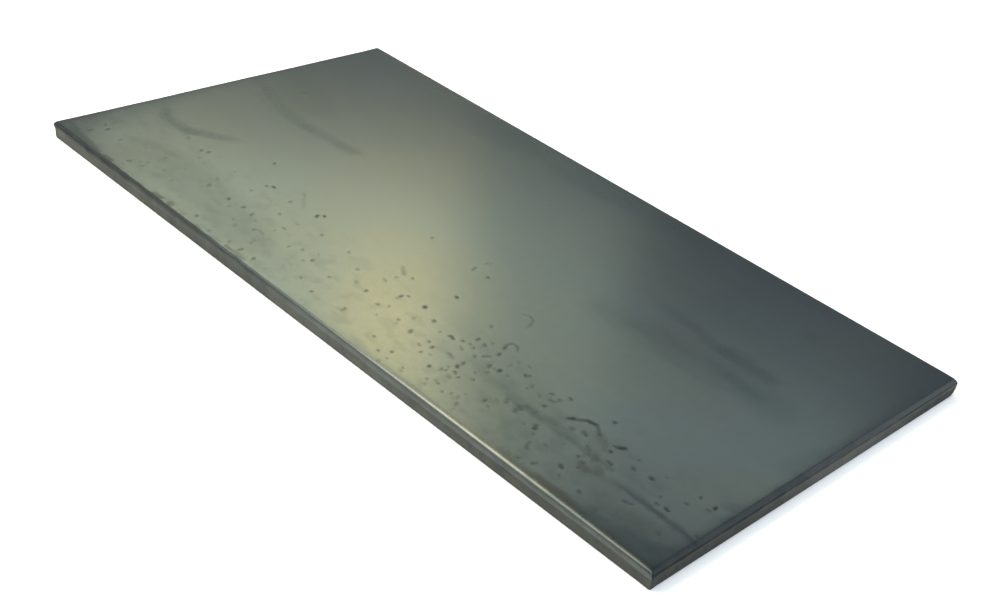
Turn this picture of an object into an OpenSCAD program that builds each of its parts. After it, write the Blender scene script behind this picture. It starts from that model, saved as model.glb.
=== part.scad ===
// Hot-rolled steel plate, cut to size from a larger plate, as it lies on a level floor.
// Millimetres. +X runs along the length towards the near end, +Y runs across the width
// towards the back edge, and +Z is up. The origin is the centre of the underside.
//
// The back edge is the mill's own rolled edge. The other three sides were sheared: the
// blade rolled the top corner over along the front edge and the near end, and left a lip
// along the top of the far end.

/* [Plate] */
// Overall length, from the near end to the tip of the far end's lip
length = 600; // [200:5:1500]
// Overall width, from the front edge to the widest point of the back edge
width = 300; // [100:5:1000]
// Thickness of the plate
thickness = 12; // [10:0.5:25]

/* [Front edge, sheared] */
// Radius of the front edge's rolled-over top corner
front_top_round = 2.2; // [0.5:0.1:4]
// Radius of the front edge's bottom corner
front_bottom_round = 0.8; // [0.2:0.1:2]

/* [Back edge, as rolled] */
// Radius of the back edge's lower round, and so the height of its widest point
back_lower_round = 8; // [2:0.5:8]
// How far the back edge's widest point stands out past the top face
back_bulge = 1.9; // [0.5:0.1:1.9]

/* [Near end, sheared] */
// Radius of the near end's rolled-over top corner
near_top_round = 3.5; // [0.5:0.1:5]
// Radius of the near end's bottom corner
near_bottom_round = 0.8; // [0.2:0.1:2]

/* [Far end, sheared, with a lip] */
// How far the lip's tip stands out past the sheared face below it
lip_reach = 2.2; // [0.5:0.1:3]
// How far the top face ends short of the lip's tip
lip_lean = 1.2; // [0.2:0.1:2]
// Height of the slope from the lip's tip up to the top face
lip_slope = 1.7; // [0.5:0.1:2]
// Height of the lip's blunt tip
lip_tip = 1.2; // [0.4:0.1:2]
// Height over which the lip runs back down to the sheared face
lip_root = 2.5; // [0.5:0.1:3]
// Radius of the far end's rolled-under bottom corner
far_bottom_round = 3; // [0.5:0.1:3]

/* [Hidden] */

$fn = 96;
// How far a cutting shape runs past what it cuts
overcut = 5;
// How far the lip's shape runs into the body of the plate
lip_overlap = 4;
// How far the body of the plate stays clear of the end of the back edge's upper arc
arc_clearance = 0.05;

// Height of the back edge above its widest point
back_rise = thickness - back_lower_round;
// Radius of the upper arc, which runs from the widest point up to the end of the top face
back_upper_radius = (back_rise * back_rise + back_bulge * back_bulge) / (2 * back_bulge);
// Where the body ends above the back edge's widest point: the arc runs on from there
body_width = width - back_bulge - arc_clearance;
// Heights of the lip's tip and of its root
lip_tip_top = thickness - lip_slope;
lip_tip_bottom = lip_tip_top - lip_tip;
lip_root_height = lip_tip_bottom - lip_root;

// What a round of radius r takes off a square corner at the origin. The solid fills the
// first quadrant.
module corner_waste(r) {
    difference() {
        translate([-overcut, -overcut]) square(overcut + r);
        translate([r, r]) circle(r);
    }
}

// The back edge's rounded outline, on a plate whose underside lies on y = 0: a long upper
// arc and a tighter lower one, which meet upright at the widest point.
module rolled_edge() {
    intersection() {
        translate([width, back_lower_round])
            translate([-back_upper_radius, 0]) circle(back_upper_radius);
        translate([0, back_lower_round]) square([width, back_rise]);
    }
    intersection() {
        translate([width - back_lower_round, back_lower_round]) circle(back_lower_round);
        translate([width - back_lower_round, 0]) square(back_lower_round);
    }
}

// Section across the plate: its front edge at x = 0 and its back edge at x = width.
module cross_section() {
    difference() {
        union() {
            square([width - back_lower_round, thickness]);
            translate([0, back_lower_round]) square([body_width, back_rise]);
            rolled_edge();
        }
        corner_waste(front_bottom_round);
        translate([0, thickness]) mirror([0, 1]) corner_waste(front_top_round);
    }
}

// The lip along the top of the far end, with its tip at x = 0.
module lip_outline() {
    polygon([
        [lip_lean, thickness],
        [0, lip_tip_top],
        [0, lip_tip_bottom],
        [lip_reach, lip_root_height],
        [lip_reach + lip_overlap, lip_root_height],
        [lip_reach + lip_overlap, thickness]
    ]);
}

// Section along the plate: the far end's lip at x = 0 and the near end at x = length.
module long_section() {
    difference() {
        union() {
            translate([lip_reach, 0]) square([length - lip_reach, thickness]);
            lip_outline();
        }
        translate([lip_reach, 0]) corner_waste(far_bottom_round);
        translate([length, 0]) mirror([1, 0]) corner_waste(near_bottom_round);
        translate([length, thickness]) rotate(180) corner_waste(near_top_round);
    }
}

// Both sections run right through each other, and the plate is what they share.
module plate() {
    color([0.36, 0.39, 0.39])
    intersection() {
        translate([-length / 2 - overcut, -width / 2, 0])
            rotate([90, 0, 90])
                linear_extrude(length + 2 * overcut) cross_section();
        translate([-length / 2, width / 2 + overcut, 0])
            rotate([90, 0, 0])
                linear_extrude(width + 2 * overcut) long_section();
    }
}

plate();
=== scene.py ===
"""A hot-rolled steel plate under its mill scale, lying flat on a pale studio floor.

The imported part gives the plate's place and size. This script rebuilds its surface with the
fine relief of a rolled and sheared blank, and gives it the scale's colour and sheen.
"""

import math
import random

import bmesh
import bpy
from mathutils import Matrix, Vector, noise
from mathutils.geometry import intersect_point_line
from mathutils.kdtree import KDTree


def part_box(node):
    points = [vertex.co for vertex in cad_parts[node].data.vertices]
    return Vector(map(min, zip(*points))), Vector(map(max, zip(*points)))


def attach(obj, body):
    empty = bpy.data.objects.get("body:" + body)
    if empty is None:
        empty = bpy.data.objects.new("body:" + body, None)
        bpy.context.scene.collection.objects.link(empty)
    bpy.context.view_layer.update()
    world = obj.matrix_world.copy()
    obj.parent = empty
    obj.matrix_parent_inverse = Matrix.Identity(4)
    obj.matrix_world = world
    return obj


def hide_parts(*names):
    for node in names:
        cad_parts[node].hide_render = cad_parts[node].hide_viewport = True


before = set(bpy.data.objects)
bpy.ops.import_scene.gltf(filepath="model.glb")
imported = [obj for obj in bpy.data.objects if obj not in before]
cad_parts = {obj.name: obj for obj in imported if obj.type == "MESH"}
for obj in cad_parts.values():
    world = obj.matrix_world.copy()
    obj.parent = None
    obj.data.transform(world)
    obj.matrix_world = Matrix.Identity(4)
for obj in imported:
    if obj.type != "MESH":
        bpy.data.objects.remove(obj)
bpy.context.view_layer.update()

MM = 0.001

# The plate's box. +X runs to the near end, +Y to the rolled back edge, +Z up.
LOW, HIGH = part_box("plate")
THICKNESS = HIGH.z - LOW.z

# The section along each side, at the sizes that the part is built to.
FRONT_TOP_ROUND = 2.2 * MM
FRONT_BOTTOM_ROUND = 0.8 * MM
BACK_LOWER_ROUND = 8 * MM
BACK_BULGE = 1.9 * MM
NEAR_TOP_ROUND = 3.5 * MM
NEAR_BOTTOM_ROUND = 0.8 * MM
LIP_REACH = 2.2 * MM
LIP_LEAN = 1.2 * MM
LIP_SLOPE = 1.7 * MM
LIP_TIP = 1.2 * MM
LIP_ROOT = 2.5 * MM
FAR_BOTTOM_ROUND = 3 * MM
CORNER_ROUND = 0.8 * MM
# The tearing of the sheared sides fades out towards the plate's corners over this stretch.
CORNER_FADE = (2.5 * MM, 6 * MM)

# Heights in mm of the rings of vertices round the plate, close together where a section curves.
RINGS = [z * MM for z in (
    0, 0.1, 0.3, 0.8, 1.4, 2.2, 3.0, 3.8, 4.6, 5.4, 6.0, 6.6, 7.2, 7.8, 8.3, 8.7, 9.1, 9.5,
    9.9, 10.3, 10.7, 11.05, 11.35, 11.6, 11.8, 11.93, 12,
)]
# Lines across the plate lie about this far apart, and closer at the edges.
GRID = 5 * MM
EDGE_LINES = [d * MM for d in (0, 0.25, 0.8, 2, 4, 7, 11)]
# The strips along the sheared sides, and the surface round each mark, are cut finer.
STRIP = 9 * MM
FINE_CUTS = 4
# A vertex this close to the top's height lies on the top.
TOUCHING = 1e-6

# How far the top is pulled down by the shear: at the edge, and over what distance inwards.
FRONT_DROOP = (0.3 * MM, 9 * MM)
FRONT_ROLL = (0.5 * MM, 5 * MM)
NEAR_DROOP = (0.4 * MM, 12 * MM)
# The front droop grows to its full depth, and the front roll sets in, between these two x.
FRONT_GROWS = (-120 * MM, 100 * MM)
ROLL_SETS_IN = (30 * MM, 110 * MM)
WAVINESS = 0.05 * MM
WAVE_LENGTH = 140 * MM

# The line up to which a sheared face is torn: its height, and its swings as their size, their
# length and their seed.
TEAR_HEIGHT = 7.5 * MM
TEAR_SWINGS = ((1.1 * MM, 55 * MM, 3.1), (0.5 * MM, 13 * MM, 7.7))
# How far the torn part stands back, and how deep its coarse and its fine roughness are.
TORN_DEPTH = 0.16 * MM
COARSE_TEAR = 0.1 * MM
FINE_TEAR = 0.04 * MM
# A vertex belongs to a sheared side as its normal turns that way from the first to the second.
FACING = (0.55, 0.95)
# The front round begins to be bare where its normal turns outwards by the first of these, and is
# fully bare at the second.
ROUND_TURN = 0.3
BARE_TURN = 0.7
# The tearing sets in from the underside up to FOOT, and ends over these stretches further up.
FOOT = 0.6 * MM
TEAR_END = (9.6 * MM, 11 * MM)
FAR_TEAR_END = (10 * MM, 11.5 * MM)
BARE_END = (10.4 * MM, 11.7 * MM)

# How deep the far lip's dents are, over what distance inwards they fade, and how far they reach
# from the middle of the lip.
LIP_DENT = 0.9 * MM
LIP_INSIDE = (1.5 * MM, 6 * MM)
LIP_SPAN = 150 * MM

# How ragged the outlines of marks are, as a part of their half width.
RAGGED = 0.35
# The middle part of a smear that is evenly dark.
SMEAR_CORE = 0.3
# A pit whose listed depth is this many mm is as dark as a pit gets.
DARK_DEPTH = 0.07
# A mark is pressed in to this part of its listed depth.
PRESSED = 0.6

# What the mesh notes at each vertex for the material.
ATTRIBUTES = ("pit", "smear", "rust", "worn", "sheared", "torn", "tone_and_painted_light")

# Round pits in the top: x, y, size and listed depth, all in mm.
PITS = [
    (-166, -52, 4, 0.05), (-141, -89, 4, 0.06), (-114, -76, 4.5, 0.05), (-88, -72, 4.5, 0.075),
    (-85, -68, 4, 0.075), (-231, -82, 4.5, 0.03), (-211, -113, 5.5, 0.025), (-255, 38, 5.5, 0.05),
    (-270, -124, 4.5, 0.05), (-275, -135, 5.5, 0.055), (-130, -140, 4.5, 0.055),
    (-109, -144, 3.5, 0.06), (-95, -119, 3.5, 0.04), (-87, -108, 3.5, 0.03), (-86, -101, 3.5, 0.035),
    (-90, -141, 4, 0.04), (-78, -140, 4.5, 0.055), (-64, -140, 4, 0.06), (-49, -142, 4.5, 0.04),
    (-65, -112, 3.5, 0.035), (-42, -110, 4.5, 0.055), (-66, -85, 4, 0.03), (-12, -133, 4.5, 0.05),
    (-29, -129, 3.5, 0.03), (-20, -113, 3.5, 0.03), (6, -104, 4, 0.05), (44, -60, 4, 0.06),
    (37, -26, 4, 0.065), (82, -64, 4, 0.05), (84, -90, 4, 0.055), (88, -81, 4.5, 0.065),
    (95, -82, 4.5, 0.045), (94, -90, 3.5, 0.045), (101, -95, 4, 0.045), (108, -81, 5, 0.055),
    (114, -95, 5, 0.065), (121, -93, 5, 0.065), (73, -108, 3.5, 0.04), (79, -110, 4.5, 0.05),
    (79, -119, 3.5, 0.03), (58, -110, 4.5, 0.04), (103, -111, 4, 0.05), (103, -106, 4, 0.045),
    (93, -125, 4, 0.05), (107, -116, 4, 0.055), (112, -118, 3.5, 0.045), (119, -112, 3.5, 0.035),
    (118, -100, 4.5, 0.04), (102, -119, 3.5, 0.025), (72, -115, 3.5, 0.03), (4, -77, 3.5, 0.03),
    (11, -69, 3.5, 0.03), (50, -132, 3.5, 0.025), (105, -74, 4, 0.075), (134, -83, 4, 0.05),
    (144, -88, 4, 0.03), (147, -111, 4.5, 0.05), (156, -112, 4.5, 0.045), (174, -114, 5.5, 0.065),
    (185, -131, 4.5, 0.055), (189, -141, 4, 0.05), (198, -138, 4.5, 0.05), (209, -127, 5, 0.055),
    (138, -120, 3.5, 0.05), (199, -72, 4.5, 0.055), (178, -119, 3.5, 0.035), (167, -77, 4.5, 0.03),
    (196, -95, 5, 0.045), (247, -93, 5.5, 0.055), (235, -95, 4.5, 0.035), (231, -135, 4.5, 0.045),
    (275, -83, 3.5, 0.045), (274, -93, 4.5, 0.035), (286, -83, 4, 0.065), (264, -107, 3.5, 0.035),
    (270, -106, 4, 0.06), (281, -124, 4, 0.03), (216, -94, 4.5, 0.065),
    (-141, -76, 4.5, 0.06), (-137, -73, 4.5, 0.065), (-209, -85, 4.5, 0.04), (-204, -82, 5, 0.045),
    (-139, -109, 5, 0.05), (-124, -107, 5, 0.05), (-113, -108, 4.5, 0.04), (-167, -99, 5, 0.03),
    (-162, -109, 5, 0.045), (-57, -107, 4.5, 0.04), (-18, -92, 4.5, 0.035), (23, -89, 5, 0.045),
    (42, -85, 5.5, 0.055), (57, -90, 5, 0.045), (-23, -24, 4, 0.03), (157, -83, 5, 0.045),
]
# Scores, folds and drawn-out pits: their points, their width and their listed depth, in mm.
SCORES = [
    ([(-122, -58), (-112, -66), (-101, -74)], 5, 0.015),
    ([(-95, -118), (-91, -116), (-86, -117)], 4.5, 0.02),
    ([(24, -28), (23, -25)], 4, 0.03),
    ([(23, -15), (25, -12)], 5, 0.02),
    ([(75, -94), (77, -92), (80, -94)], 4.5, 0.05),
    ([(104, -91), (106, -88)], 5, 0.04),
    ([(90, -106), (94, -107)], 5, 0.025),
    ([(-4, -65), (4, -71)], 5.5, 0.02),
    ([(154, -108), (158, -109)], 4.5, 0.04),
    ([(160, -89), (163, -88)], 5, 0.025),
    ([(105, -75), (103, -70), (104, -66), (109, -66), (112, -70)], 4, 0.04),
    ([(83, -38), (87, -35), (92, -37), (95, -42), (96, -47)], 4, 0.025),
    ([(180, -92), (184, -88), (189, -83), (194, -83), (198, -85), (203, -89)], 5, 0.05),
    ([(180, -92), (182, -90)], 5.5, 0.085),
    ([(188, -84), (194, -83)], 5, 0.07),
    ([(214, -89), (218, -87)], 4, 0.05),
    ([(217, -88), (219, -86)], 5.5, 0.09),
    ([(251, -120), (256, -118)], 4, 0.03),
    ([(222, -102), (225, -103)], 5, 0.045),
]

# Dark smears in the scale: their points in mm, their width in mm and their strength.
SMEARS = [
    ([(-306, 26), (-268, 13), (-241, 7), (-216, 2), (-196, 3)], 20, 0.7),
    ([(-204, 3), (-176, 6), (-150, 9)], 15, 0.65),
    ([(-166, 7), (-152, 9)], 15, 0.4),
    ([(-306, 56), (-262, 40), (-222, 27)], 60, 0.5),
    ([(-306, 120), (-280, 84), (-262, 50)], 76, 0.4),
    ([(-290, -66), (-264, -79), (-246, -78), (-232, -71), (-212, -56)], 16, 0.9),
    ([(-252, -79), (-238, -74)], 12, 0.4),
    ([(-238, -111), (-230, -109)], 12, 0.3),
    ([(-306, -58), (-296, -112)], 64, 0.55),
    ([(100, 12), (150, 20), (200, 22), (256, 22)], 46, 0.3),
    ([(126, 17), (142, 17), (160, 12)], 12, 0.4),
    ([(146, 24), (168, 21), (184, 22)], 12, 0.35),
    ([(190, 25), (212, 22), (238, 21)], 14, 0.4),
    ([(160, 8), (190, 6), (216, 9)], 10, 0.25),
    ([(128, 50), (152, 46), (178, 42), (204, 43)], 15, 0.5),
    ([(188, 43), (228, 42)], 18, 0.5),
    ([(206, 44), (218, 43)], 14, 0.3),
    ([(206, 107), (213, 104)], 12, 0.5),
    ([(-306, 146), (-200, 141), (-80, 139)], 66, 0.5),
    ([(-130, 144), (-20, 142), (80, 144)], 64, 0.6),
    ([(60, 142), (200, 146)], 40, 0.3),
    ([(-240, -126), (-150, -118), (-80, -128)], 64, 0.45),
    ([(-120, -130), (-50, -130)], 34, 0.15),
    ([(-256, -148), (-170, -148), (-96, -148)], 18, 0.32),
    ([(60, -74), (110, -84), (160, -97), (250, -94)], 34, 0.12),
    ([(70, -104), (140, -112), (220, -122)], 34, 0.12),
    ([(108, -102), (150, -105), (200, -103)], 12, 0.5),
    ([(156, -105), (228, -106)], 6, 0.5),
    ([(232, -111), (262, -112), (304, -114)], 6, 0.85),
    ([(238, -111), (254, -112)], 9, 0.45),
    ([(208, -144), (222, -144), (238, -145)], 6, 0.4),
    ([(236, -145), (247, -142), (256, -142)], 8, 0.8),
    ([(246, -139), (250, -142)], 9, 0.8),
    ([(256, -141), (268, -142), (280, -142)], 13, 0.9),
    ([(266, -139), (284, -141), (300, -142)], 19, 0.9),
    ([(284, -136), (304, -130)], 14, 0.7),
    ([(226, -148), (262, -132), (300, -128)], 30, 0.35),
    ([(301, -151), (301, -20)], 15, 0.7),
    ([(301, -40), (301, 30)], 12, 0.3),
    ([(290, -76), (303, -66)], 14, 0.3),
    ([(292, -20), (303, 60)], 22, 0.2),
    ([(-306, -139), (-288, -141), (-268, -147), (-246, -151)], 8, 1.0),
    ([(-299, -150), (-299, 150)], 8, 0.6),
    ([(-292, -118), (-276, -141)], 14, 0.4),
]
# Brown patches where the scale has begun to rust: their points, width and strength.
RUST = [
    ([(-292, -145), (-262, -145), (-240, -149)], 9, 0.9),
    ([(-256, -149), (-190, -150), (-96, -151)], 6, 0.9),
    ([(203, -144), (222, -144), (241, -144)], 9, 0.9),
    ([(211, -102), (214, -104), (216, -108)], 9, 0.5),
    ([(213, -115), (217, -118), (221, -117)], 9, 0.55),
    ([(220, -110), (224, -112), (228, -114)], 8, 0.5),
    ([(200, -88), (207, -90), (213, -96)], 13, 0.5),
    ([(206, -120), (256, -126), (302, -122)], 32, 0.35),
    ([(-300, 142), (-150, 144), (-60, 146)], 26, 0.3),
]
# Small pits strewn at random: their number, and in mm where they lie, where along the plate
# they lie thickest, how far that reaches, and where across the plate they grow thick.
SCATTERED_PITS = 120
SCATTER_X = (-295, 295)
SCATTER_Y = (-147, -74)
THICKEST_X = 130
THICK_REACH = 85
THICK_FROM_FRONT = (74, 100)
# Small stains strewn along the front edge: their number, and in mm where they begin, over what
# length they lie and how far in from the edge.
EDGE_STAINS = 44
STAINS_FROM = -296
STAINS_LENGTH = 230
STAINS_REACH = 5
# The scale is worn towards the front: it begins and is full this far in front of the middle.
WORN = (50 * MM, 110 * MM)

# Soft panels round the plate: name, azimuth, elevation, size in metres, radiance and roll.
PANEL_DISTANCE = 1.6
PANELS = [
    ("window", 150.4, 36.4, (0.65, 0.61), (3.65, 3.82, 2.55), -9),
    ("near_window", 131.2, 36, (0.29, 0.48), (1.65, 1.92, 1.45), -10),
    ("side_window", 114.4, 41.1, (0.55, 0.33), (1.4, 1.7, 1.5), 0),
    ("lamp", 141.5, 36.6, (0.16, 0.16), (6.6, 4.4, 1.0), 0),
    ("overhead", 182, 60, (1.1, 0.3), (11, 10.1, 6.9), 0),
    ("high_overhead", 205, 75, (0.6, 0.4), (0.8, 0.9, 0.8), 0),
    ("high_back_wall", 75, 48, (1.1, 0.5), (0.42, 0.47, 0.45), 0),
    ("high_left_wall", 220, 54, (1.15, 0.75), (3.0, 3.0, 2.2), 0),
    ("left_wall", 237, 33, (1.0, 1.9), (1.1, 1.13, 1.0), 0),
    ("far_left_wall", 200, 20, (0.89, 1.0), (0.8, 0.78, 0.68), 0),
    ("back_wall", 45, 22, (1.5, 1.3), (0.6, 0.66, 0.66), 0),
]
WORLD_COLOUR = (0.40, 0.47, 0.54, 1)
CEILING_STRENGTH = 1.7
CEILING_SPREAD = math.radians(60)
CEILING_PLACE = (0.6, -1.0, 3.0)

CAMERA_PLACE = (0.6229, -0.6245, 0.5204)
CAMERA_TARGET = (0.1007, 0.0407, 0.006)
CAMERA_ROLL = math.radians(9.93)
CAMERA_LENS = 52.95
CAMERA_SHIFT = -0.126

FLOOR_SIZE = 24


# ---------------------------------------------------------------- the plate's body


def round_inset(height, radius):
    """How far a corner round stands back from its side, this high above its flat face."""
    if height >= radius:
        return 0.0
    return radius - math.sqrt(max(0.0, radius ** 2 - (radius - height) ** 2))


def front_inset(z):
    return round_inset(z, FRONT_BOTTOM_ROUND) + round_inset(THICKNESS - z, FRONT_TOP_ROUND)


def back_inset(z):
    if z <= BACK_LOWER_ROUND:
        return round_inset(z, BACK_LOWER_ROUND)
    rise = THICKNESS - BACK_LOWER_ROUND
    radius = (rise ** 2 + BACK_BULGE ** 2) / (2 * BACK_BULGE)
    return radius - math.sqrt(radius ** 2 - (z - BACK_LOWER_ROUND) ** 2)


def near_inset(z):
    return round_inset(z, NEAR_BOTTOM_ROUND) + round_inset(THICKNESS - z, NEAR_TOP_ROUND)


def far_inset(z):
    below = THICKNESS - z
    if below < LIP_SLOPE:
        return LIP_LEAN * (1 - below / LIP_SLOPE)
    if below < LIP_SLOPE + LIP_TIP:
        return 0.0
    if below < LIP_SLOPE + LIP_TIP + LIP_ROOT:
        return LIP_REACH * (below - LIP_SLOPE - LIP_TIP) / LIP_ROOT
    return LIP_REACH + round_inset(z, FAR_BOTTOM_ROUND)


def lines_between(start, end):
    """Where the lines across one side of the plate lie: even, and closer at both edges."""
    first = EDGE_LINES[-1]
    span = end - start - 2 * first
    count = round(span / GRID)
    middle = [start + first + span * i / count for i in range(1, count)]
    low = [start + d for d in EDGE_LINES]
    high = [end - d for d in reversed(EDGE_LINES)]
    return low + middle + high


def cut_evenly(bm, axis, cuts):
    """Cuts every edge that runs along one axis into equal lengths."""
    along = [e for e in bm.edges if abs(e.verts[0].co[axis] - e.verts[1].co[axis]) > 0.9]
    bmesh.ops.subdivide_edges(bm, edges=along, cuts=cuts, use_grid_fill=True)


def plate_lattice():
    """A block cut into a lattice, with its vertices on the plate's lines and rings."""
    bm = bmesh.new()
    bmesh.ops.create_cube(bm, size=1)
    stations = [lines_between(LOW.x, HIGH.x), lines_between(LOW.y, HIGH.y), RINGS]
    for axis, places in enumerate(stations):
        cut_evenly(bm, axis, len(places) - 2)
    for v in bm.verts:
        v.co = [
            places[round((v.co[axis] + 0.5) * (len(places) - 1))]
            for axis, places in enumerate(stations)
        ]
    return bm


def into_section(co):
    """Moves a point of the plate's plain box onto the rounded section."""
    z = co.z
    x_low, x_high = LOW.x + far_inset(z), HIGH.x - near_inset(z)
    y_low, y_high = LOW.y + front_inset(z), HIGH.y - back_inset(z)
    x = x_low + (x_high - x_low) * (co.x - LOW.x) / (HIGH.x - LOW.x)
    y = y_low + (y_high - y_low) * (co.y - LOW.y) / (HIGH.y - LOW.y)
    inner_x = min(max(x, x_low + CORNER_ROUND), x_high - CORNER_ROUND)
    inner_y = min(max(y, y_low + CORNER_ROUND), y_high - CORNER_ROUND)
    dx, dy = x - inner_x, y - inner_y
    if dx and dy:
        scale = max(abs(dx), abs(dy)) / math.hypot(dx, dy)
        x, y = inner_x + dx * scale, inner_y + dy * scale
    return Vector((x, y, z))


# ---------------------------------------------------------------- marks


def smooth_step(value, start, end):
    """Rises smoothly from 0 at start to 1 at end."""
    t = min(max((value - start) / (end - start), 0.0), 1.0)
    return t * t * (3 - 2 * t)


def wander(co, size, seed):
    """Smooth noise from about -1 to 1, with features of this size in metres."""
    return noise.noise(Vector((co[0] / size, co[1] / size, co[2] / size + 17.3 * seed)))


def on_top(path):
    """The points of a path given in mm, as places on the plate's top."""
    return [Vector((x * MM, y * MM, HIGH.z)) for x, y in path]


def rounded_off(points):
    """Cuts the corners of a path until it bends smoothly."""
    for _ in range(2 if len(points) > 2 else 0):
        inner = [a.lerp(b, t) for a, b in zip(points, points[1:]) for t in (0.25, 0.75)]
        points = [points[0]] + inner + [points[-1]]
    return points


class Mark:
    """A stroke along a path on the top, with a depth or a strength. A bent one tapers."""

    def __init__(self, path, width, depth, core=0.0):
        self.path = rounded_off(on_top(path))
        self.half = width * MM / 2
        self.depth = depth
        self.core = core

    def near(self, tree, reach):
        """The numbers of the tree's points that lie within reach of the stroke."""
        found = set()
        for a, b in zip(self.path, self.path[1:]):
            radius = (b - a).length / 2 + self.half + reach
            found.update(n for _, n, _ in tree.find_range((a + b) / 2, radius))
        return found

    def amount(self, co):
        """1 on the stroke's line, falling smoothly to 0 at its sides."""
        shift = Vector((wander(co, 2.5 * self.half, 1), wander(co, 2.5 * self.half, 2), 0))
        place = co + shift * self.half * RAGGED
        place.z = HIGH.z
        most = 0.0
        steps = len(self.path) - 1
        for n in range(steps):
            a, b = self.path[n], self.path[n + 1]
            along = min(max(intersect_point_line(place, a, b)[1], 0.0), 1.0)
            away = (place - a.lerp(b, along)).length / self.half
            full = 1.0
            if steps > 1:
                gone = (n + along) / steps
                slim = math.sqrt(4 * gone * (1 - gone))
                away /= 0.55 + 0.45 * slim
                full = 0.25 + 0.75 * slim
            most = max(most, full * (1 - smooth_step(away, self.core, 1.0)))
        return most


def pit_mark(rng, x, y, size, depth):
    """A pit, drawn out a little in some direction."""
    angle = rng.uniform(1.8, 3.0)
    reach = size * rng.uniform(0.05, 0.28)
    dx, dy = reach * math.cos(angle), reach * math.sin(angle)
    return Mark([(x - dx, y - dy), (x + dx, y + dy)], size, depth)


def scattered_pits(rng):
    """Small pits strewn over the front third, thickest towards the near end."""
    made = []
    while len(made) < SCATTERED_PITS:
        x, y = rng.uniform(*SCATTER_X), rng.uniform(*SCATTER_Y)
        thick = 0.25 + 0.75 * math.exp(-((x - THICKEST_X) / THICK_REACH) ** 2)
        thick *= 0.4 + 0.6 * smooth_step(-y, *THICK_FROM_FRONT)
        size = rng.uniform(2.6, 5)
        depth = rng.uniform(0.012, 0.04)
        if rng.random() < thick:
            made.append(pit_mark(rng, x, y, size, depth))
    return made


def edge_stains(rng):
    """Small dark stains strewn along the front edge towards the far end."""
    made = []
    for _ in range(EDGE_STAINS):
        x = STAINS_FROM + STAINS_LENGTH * rng.random() ** 1.3
        y = LOW.y / MM + STAINS_REACH * rng.random() ** 2
        long = rng.uniform(2, 10)
        path = [(x, y), (x + long, y + rng.uniform(-1, 1))]
        made.append((path, rng.uniform(3, 7), rng.uniform(0.4, 0.9)))
    return made


def crisp_marks():
    rng = random.Random(12)
    marks = [pit_mark(rng, *pit) for pit in PITS]
    marks += [Mark(*score) for score in SCORES]
    return marks + scattered_pits(rng)


def tree_of(points):
    tree = KDTree(len(points))
    for n, point in enumerate(points):
        tree.insert(point, n)
    tree.balance()
    return tree


def cut_fine(bm, edges):
    bmesh.ops.subdivide_edges(bm, edges=edges, cuts=FINE_CUTS, use_grid_fill=True)


def cut_strips(bm):
    """Cuts the sides, and the strips beside the sheared ones, finer along their length."""
    sides = (
        (0, lambda co: co.y < LOW.y + STRIP),
        (1, lambda co: co.x > HIGH.x - STRIP or co.x < LOW.x + STRIP),
    )
    for axis, inside in sides:
        chosen = [
            e for e in bm.edges
            if abs(e.verts[0].co[axis] - e.verts[1].co[axis]) > GRID * 0.9
            and all(inside(v.co) for v in e.verts)
        ]
        cut_fine(bm, chosen)


def cut_round_marks(bm, marks):
    """Cuts the top finer where a pit or a score will be pressed in."""
    faces = [
        f for f in bm.faces
        if all(v.co.z > HIGH.z - TOUCHING for v in f.verts) and f.calc_area() > (GRID * 0.6) ** 2
    ]
    tree = tree_of([f.calc_center_median() for f in faces])
    chosen = set()
    for mark in marks:
        chosen |= mark.near(tree, GRID * 0.75)
    edges = {e for n in chosen for e in faces[n].edges if e.calc_length() > GRID * 0.5}
    cut_fine(bm, list(edges))


# ---------------------------------------------------------------- relief


def droop(distance, amount, power=2.5):
    """How far the top is pulled down, this far inside a sheared edge."""
    depth, reach = amount
    return depth * max(0.0, 1 - distance / reach) ** power


def top_relief(co):
    """How far a point of the top lies below the flat, apart from its marks."""
    bend = 0.4 + 0.6 * smooth_step(co.x, *FRONT_GROWS)
    front = droop(co.y - LOW.y, FRONT_DROOP) * bend * (1 + 0.25 * wander(co, 50 * MM, 3))
    front += droop(co.y - LOW.y, FRONT_ROLL, 2) * smooth_step(co.x, *ROLL_SETS_IN)
    near = droop(HIGH.x - co.x, NEAR_DROOP) * (1 + 0.2 * wander(co, 60 * MM, 4))
    far = droop(co.x - LOW.x, NEAR_DROOP) * 0.5
    wave = WAVINESS * (1 + wander(co, WAVE_LENGTH, 5)) / 2
    return front + near + far + wave


def tear_line(along):
    """The height at which a sheared face turns from burnished to torn, at a place along it."""
    swings = (
        size * noise.noise(Vector((along / length, seed, 0)))
        for size, length, seed in TEAR_SWINGS
    )
    return TEAR_HEIGHT + sum(swings)


def shear_relief(along, z):
    """Returns how torn a sheared face is, and how far it stands back there."""
    line = tear_line(along)
    torn = 1 - smooth_step(z, line - 0.5 * MM, line + 0.3 * MM)
    coarse = noise.noise(Vector((along / (7 * MM), z / (3 * MM), 9.9)))
    fine = noise.noise(Vector((along / (3.5 * MM), z / (9 * MM), 2.2)))
    depth = torn * (TORN_DEPTH + COARSE_TEAR * coarse)
    return torn, depth + FINE_TEAR * (1 + fine) * (0.5 + torn)


def stain_surface(bm, layers):
    """Notes how smeared and how rusty the top and its rounded edges are."""
    upper = [v for v in bm.verts if v.co.z > HIGH.z - NEAR_TOP_ROUND]
    places = [Vector((v.co.x, v.co.y, HIGH.z)) for v in upper]
    tree = tree_of(places)
    stains = edge_stains(random.Random(5))
    for name, strokes in (("smear", SMEARS + stains), ("rust", RUST + stains[::4])):
        for stroke in strokes:
            mark = Mark(*stroke, SMEAR_CORE)
            for n in mark.near(tree, mark.half * RAGGED):
                old = upper[n][layers[name]]
                new = mark.amount(places[n]) * mark.depth
                upper[n][layers[name]] = old + new - old * new
    for v in upper:
        v[layers["worn"]] = smooth_step(-v.co.y, *WORN)


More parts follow.
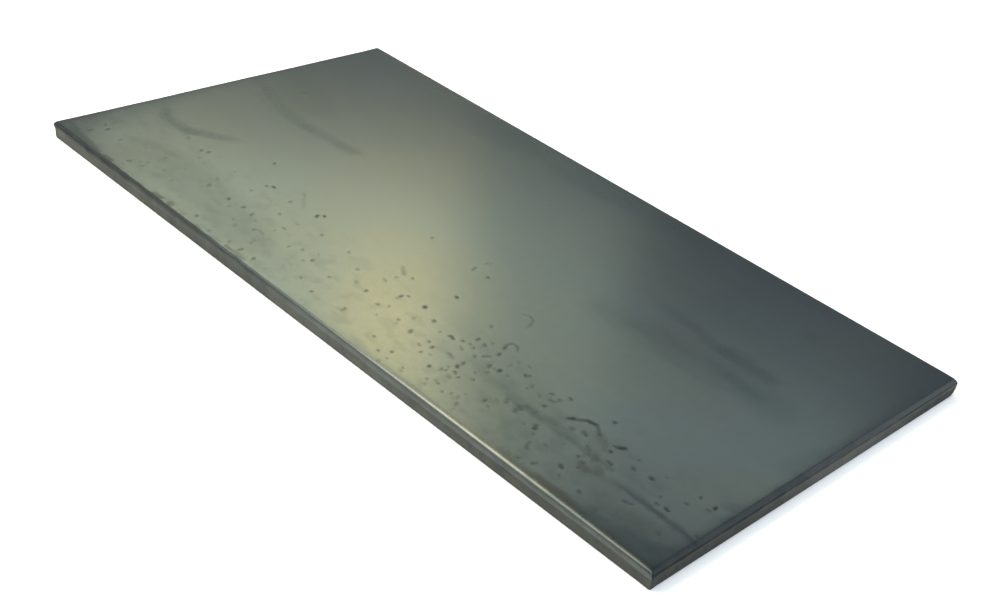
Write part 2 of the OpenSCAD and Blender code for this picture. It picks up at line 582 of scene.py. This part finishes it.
def shape_surface(bm, marks):
    """Presses every mark and the sheared faces' tearing in, and notes where they are."""
    layers = {name: bm.verts.layers.float.new(name) for name in ATTRIBUTES}
    bm.normal_update()
    verts = bm.verts[:]
    flat = [v for v in verts if v.co.z > HIGH.z - TOUCHING]
    tree = tree_of([v.co for v in flat])
    places = [v.co.copy() for v in flat]
    sink = [0.0] * len(flat)
    for mark in marks:
        for n in mark.near(tree, 0):
            amount = mark.amount(places[n])
            sink[n] = max(sink[n], amount * mark.depth * PRESSED * MM)
            dark = mark.depth / DARK_DEPTH * (1 + 0.6 * wander(places[n], 3 * MM, 11))
            dark = min(1.0, dark * amount ** 1.4)
            flat[n][layers["pit"]] = max(flat[n][layers["pit"]], dark)
    stain_surface(bm, layers)
    for v in verts:
        shape_side(v, layers)
    for v in verts:
        height = (v.co.z - LOW.z) / THICKNESS
        v.co.z -= top_relief(v.co) * smooth_step(height, 0.5, 1.0)
    for v, depth in zip(flat, sink):
        v.co.z -= depth


def front_tone(x, z, torn):
    """How bright the front face is, 0 to 1: burnished steel above, torn below, and painted
    reflection.
    """
    # Painted reflection: the face is made lighter from the middle on towards the near end.
    painted_reflection = smooth_step(x, -60 * MM, 30 * MM)
    burnished = 0.16 * smooth_step(x, -290 * MM, -160 * MM) + 0.24 * painted_reflection
    rough = 0.26 + 0.13 * painted_reflection - 0.07 * smooth_step(x, 130 * MM, 190 * MM)
    rough -= 0.05 * smooth_step(x, -50 * MM, 60 * MM) * smooth_step(z, 3 * MM, 5 * MM)
    return burnished + (rough - burnished) * torn


def end_tone(y, torn):
    """How bright the short ends' steel is: a worn stretch in the middle, painted shade at the back.
    """
    worn = math.exp(-((y - 25 * MM) / (50 * MM)) ** 2)
    # Painted shade: the ends are made darker towards the back edge.
    painted_shade = 0.1 * smooth_step(y, 70 * MM, 140 * MM)
    return 0.17 * torn + worn * (0.1 + 0.12 * torn) - painted_shade


def shape_side(v, layers):
    """Moves a vertex of a sheared side inwards by its tearing, and notes how bare it is."""
    z = v.co.z - LOW.z
    foot = smooth_step(z, 0.0, FOOT)
    upright = foot * (1 - smooth_step(z, *TEAR_END))
    front = smooth_step(-v.normal.y, *FACING) * upright
    near = smooth_step(v.normal.x, *FACING) * upright
    far = smooth_step(-v.normal.x, *FACING) * foot * (1 - smooth_step(z, *FAR_TEAR_END))
    to_end = min(v.co.x - LOW.x, HIGH.x - v.co.x)
    to_side = min(v.co.y - LOW.y, HIGH.y - v.co.y)
    clear = smooth_step(max(to_end, to_side), *CORNER_FADE)
    at_front = -v.normal.y > ROUND_TURN and max(near, far) <= 0
    if front > 0:
        at_front = True
        torn, depth = shear_relief(v.co.x, z)
        v.co.y += depth * front * clear
    elif near > 0:
        torn, depth = shear_relief(v.co.y + 1, z)
        v.co.x -= depth * near * clear
    elif far > 0:
        torn, depth = shear_relief(v.co.y + 2, z)
        v.co.x += depth * far * clear
    elif max(-v.normal.y, abs(v.normal.x)) > ROUND_TURN and z > FOOT:
        torn = 0.0
    else:
        return
    bare = smooth_step(-v.normal.y, ROUND_TURN, BARE_TURN) * (1 - smooth_step(z, *BARE_END))
    tone_and_painted_light = front_tone(v.co.x, z, torn) if at_front else end_tone(v.co.y, torn)
    spots = 0.08 * wander(v.co, 12 * MM, 8) + 0.05 * wander(v.co, 4 * MM, 9)
    v[layers["torn"]] = torn
    v[layers["sheared"]] = max(front, near, far, bare)
    v[layers["tone_and_painted_light"]] = tone_and_painted_light + spots


def shape_lip(bm):
    """Lets the rolled-over lip of the far end wander along its length."""
    for v in bm.verts:
        z = v.co.z - LOW.z
        below = THICKNESS - z
        out = smooth_step(LIP_SLOPE + LIP_TIP + LIP_ROOT - below, 0.0, LIP_ROOT)
        edge = 1 - smooth_step(v.co.x - LOW.x, *LIP_INSIDE)
        inside = smooth_step(LIP_SPAN - abs(v.co.y), 0.0, 20 * MM)
        place = (0, v.co.y, 0)
        pull = 0.5 + 0.35 * wander(place, 40 * MM, 6) + 0.2 * wander(place, 11 * MM, 7)
        v.co.x += max(0.0, pull) * LIP_DENT * out * edge * inside


def build_plate():
    bm = plate_lattice()
    for v in bm.verts:
        v.co = into_section(v.co)
    marks = crisp_marks()
    cut_strips(bm)
    cut_round_marks(bm, marks)
    shape_surface(bm, marks)
    shape_lip(bm)
    many_sided = [f for f in bm.faces if len(f.verts) > 4]
    bmesh.ops.triangulate(bm, faces=many_sided, ngon_method="BEAUTY")
    for f in bm.faces:
        f.smooth = True
    bmesh.ops.recalc_face_normals(bm, faces=bm.faces[:])
    mesh = bpy.data.meshes.new("steel_plate")
    bm.to_mesh(mesh)
    bm.free()
    plate = bpy.data.objects.new("steel_plate", mesh)
    bpy.context.scene.collection.objects.link(plate)
    return plate


# ---------------------------------------------------------------- materials


class Wire:
    """A socket of a material's nodes, which can be used in sums like a number."""

    def __init__(self, socket):
        self.socket = socket
        self.tree = socket.id_data

    @staticmethod
    def node(tree, kind, settings, values, output=0):
        """Adds a node, sets it up, feeds its sockets and returns one of its outputs."""
        node = tree.nodes.new(kind)
        for name, setting in settings.items():
            setattr(node, name, setting)
        for name, value in values.items():
            feed(node.inputs[name], value)
        return Wire(node.outputs[output])

    def sum(self, operation, first, second):
        return Wire.node(
            self.tree, "ShaderNodeMath", {"operation": operation}, {0: first, 1: second},
        )

    def __add__(self, other):
        return self.sum("ADD", self, other)

    def __radd__(self, other):
        return self.sum("ADD", other, self)

    def __sub__(self, other):
        return self.sum("SUBTRACT", self, other)

    def __rsub__(self, other):
        return self.sum("SUBTRACT", other, self)

    def __mul__(self, other):
        return self.sum("MULTIPLY", self, other)

    def __rmul__(self, other):
        return self.sum("MULTIPLY", other, self)


def feed(socket, value):
    """Gives a socket a link or a plain value."""
    if isinstance(value, Wire):
        socket.id_data.links.new(value.socket, socket)
    else:
        socket.default_value = value


def object_place(tree, stretch):
    """The surface's own coordinates in metres, squeezed to stretch a pattern."""
    place = Wire.node(tree, "ShaderNodeTexCoord", {}, {}, "Object")
    return Wire.node(
        tree, "ShaderNodeVectorMath", {"operation": "MULTIPLY"}, {0: place, 1: stretch},
    )


def clouds(tree, size, stretch=(1, 1, 1), detail=3.0):
    """Noise with features of this size in metres, about 0 to 1."""
    return Wire.node(tree, "ShaderNodeTexNoise", {}, {
        "Vector": object_place(tree, stretch),
        "Scale": 1 / size, "Detail": detail, "Roughness": 0.55,
    })


def noted(tree, name):
    """What the mesh says about a place under this name."""
    return Wire.node(
        tree, "ShaderNodeAttribute", {"attribute_name": name}, {}, "Fac",
    )


def ramp(tree, value, start, end):
    """Rises smoothly from 0 to 1 as the value goes from start to end."""
    return Wire.node(tree, "ShaderNodeMapRange", {"interpolation_type": "SMOOTHSTEP"}, {
        "Value": value, "From Min": start, "From Max": end,
    })


def tint(tree, mask, under, over):
    """Lays one colour over another by a mask."""
    return Wire.node(tree, "ShaderNodeMix", {"data_type": "RGBA"}, {
        0: mask, 6: under, 7: over,
    }, 2)


def shade(tree, colour, amount):
    """Makes a colour darker or lighter by a factor."""
    return Wire.node(
        tree, "ShaderNodeVectorMath", {"operation": "SCALE"}, {0: colour, "Scale": amount},
    )


def new_material(name):
    material = bpy.data.materials.new(name)
    material.use_nodes = True
    return material, material.node_tree, material.node_tree.nodes["Principled BSDF"]


# Linear reflectances of the plate's finishes.
SCALE_GREY = (0.073, 0.0785, 0.079, 1)
SCALE_BLUE = (0.068, 0.0755, 0.080, 1)
SCALE_OLIVE = (0.0745, 0.0785, 0.0755, 1)
SMEAR_BLUE = (0.037, 0.044, 0.048, 1)
PIT_DARK = (0.019, 0.0235, 0.0265, 1)
RUST_BROWN = (0.052, 0.047, 0.042, 1)
CUT_DARK = (0.017, 0.0185, 0.0183, 1)
CUT_BRIGHT = (0.210, 0.232, 0.216, 1)
CUT_OLIVE = (0.215, 0.228, 0.202, 1)
CUT_BROWN = (0.105, 0.100, 0.086, 1)


def mill_scale():
    """Rolled scale on the faces and bare sheared steel on the cut sides."""
    material, tree, shader = new_material("mill_scale")
    patches = clouds(tree, 110 * MM)
    streaks = clouds(tree, 12 * MM, (0.07, 1, 1))
    mottle = clouds(tree, 6 * MM)
    grain = clouds(tree, 1.2 * MM, detail=2.0)
    drift = clouds(tree, 30 * MM, (0.4, 1, 1), detail=2.0)
    spots = clouds(tree, 10 * MM, (0.7, 1, 1), detail=2.0)
    pit, smear, rust, worn = (noted(tree, name) for name in ("pit", "smear", "rust", "worn"))
    sheared, torn, tone_and_painted_light = (noted(tree, name) for name in ("sheared", "torn", "tone_and_painted_light"))

    colour = tint(tree, ramp(tree, patches, 0.35, 0.65), SCALE_BLUE, SCALE_OLIVE)
    colour = tint(tree, ramp(tree, streaks, 0.3, 0.7) * 0.5, colour, SCALE_GREY)
    colour = tint(tree, ramp(tree, spots, 0.5, 0.68) * worn * 0.3, colour, SMEAR_BLUE)
    ragged_rust = ramp(tree, rust + (mottle - 0.5) * 0.4, 0.1, 0.9)
    colour = tint(tree, ragged_rust * 0.9, colour, RUST_BROWN)
    drifting_smear = smear * (0.35 + drift * 0.6 + spots * 0.7)
    colour = tint(tree, drifting_smear * 0.9, colour, SMEAR_BLUE)
    colour = tint(tree, pit, colour, PIT_DARK)

    wear = clouds(tree, 9 * MM, (0.5, 0.5, 1.6))
    # The tone mixes the cut steel's brightness with painted reflection and painted shade.
    cut = tint(tree, tone_and_painted_light, CUT_DARK, tint(tree, torn, CUT_BRIGHT, CUT_OLIVE))
    cut = tint(tree, ramp(tree, wear, 0.45, 0.75) * tone_and_painted_light * 0.4, cut, CUT_BROWN)
    colour = tint(tree, ramp(tree, sheared, 0.2, 0.8), colour, cut)
    level = 0.9 + mottle * 0.14 + grain * 0.06
    feed(shader.inputs["Base Color"], shade(tree, colour, level))

    shader.inputs["Metallic"].default_value = 1.0
    rough = 0.195 + streaks * 0.04 + patches * 0.04 + drifting_smear * 0.05 + pit * 0.2
    rough = rough + sheared * 0.2 + torn * 0.12 + ragged_rust * 0.06
    feed(shader.inputs["Roughness"], rough)

    bump = Wire.node(tree, "ShaderNodeBump", {}, {
        "Strength": 0.25, "Distance": 0.08 * MM, "Height": grain * 0.5 + torn * wear * 3.0,
    })
    feed(shader.inputs["Normal"], bump)
    return material


def floor_paint():
    material, _, shader = new_material("floor_paint")
    shader.inputs["Base Color"].default_value = (0.9, 0.9, 0.9, 1)
    shader.inputs["Roughness"].default_value = 0.9
    shader.inputs["Specular IOR Level"].default_value = 0.1
    return material


# ---------------------------------------------------------------- floor, lights, camera


def add_floor():
    bm = bmesh.new()
    bmesh.ops.create_grid(bm, x_segments=1, y_segments=1, size=FLOOR_SIZE)
    mesh = bpy.data.meshes.new("floor")
    bm.to_mesh(mesh)
    bm.free()
    floor = bpy.data.objects.new("floor", mesh)
    floor.data.materials.append(floor_paint())
    bpy.context.scene.collection.objects.link(floor)


def aimed(obj, place, target, roll=0.0):
    """Puts a light or the camera at a place, turned towards its target."""
    turn = (Vector(target) - Vector(place)).to_track_quat("-Z", "Y").to_matrix().to_4x4()
    obj.matrix_world = Matrix.Translation(place) @ turn @ Matrix.Rotation(roll, 4, "Z")
    bpy.context.scene.collection.objects.link(obj)


def add_panel(name, azimuth, elevation, size, radiance, roll):
    """A soft panel that faces the plate's middle, as bright as its radiance says."""
    turn, rise = math.radians(azimuth), math.radians(elevation)
    ahead = Vector((
        math.cos(turn) * math.cos(rise), math.sin(turn) * math.cos(rise), math.sin(rise),
    ))
    brightest = max(radiance)
    data = bpy.data.lights.new(name, "AREA")
    data.shape = "RECTANGLE"
    data.size, data.size_y = size
    data.energy = brightest * math.pi * size[0] * size[1]
    data.color = [part / brightest for part in radiance]
    light = bpy.data.objects.new(name, data)
    light.visible_camera = False
    aimed(light, ahead * PANEL_DISTANCE, (0, 0, 0), math.radians(roll))


def add_lights():
    world = bpy.data.worlds.new("studio")
    world.use_nodes = True
    background = world.node_tree.nodes["Background"]
    background.inputs["Color"].default_value = WORLD_COLOUR
    bpy.context.scene.world = world
    sun = bpy.data.lights.new("ceiling", "SUN")
    sun.energy = CEILING_STRENGTH
    sun.angle = CEILING_SPREAD
    aimed(bpy.data.objects.new("ceiling", sun), CEILING_PLACE, (0, 0, 0))
    for panel in PANELS:
        add_panel(*panel)


def add_camera():
    data = bpy.data.cameras.new("camera")
    data.lens = CAMERA_LENS
    data.shift_x = CAMERA_SHIFT
    camera = bpy.data.objects.new("camera", data)
    aimed(camera, CAMERA_PLACE, CAMERA_TARGET, CAMERA_ROLL)
    bpy.context.scene.camera = camera


# ---------------------------------------------------------------- scene

bpy.context.scene.view_settings.view_transform = "Standard"
steel = build_plate()
steel.data.materials.append(mill_scale())
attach(steel, "root")
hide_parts("plate")
add_floor()
add_lights()
add_camera()
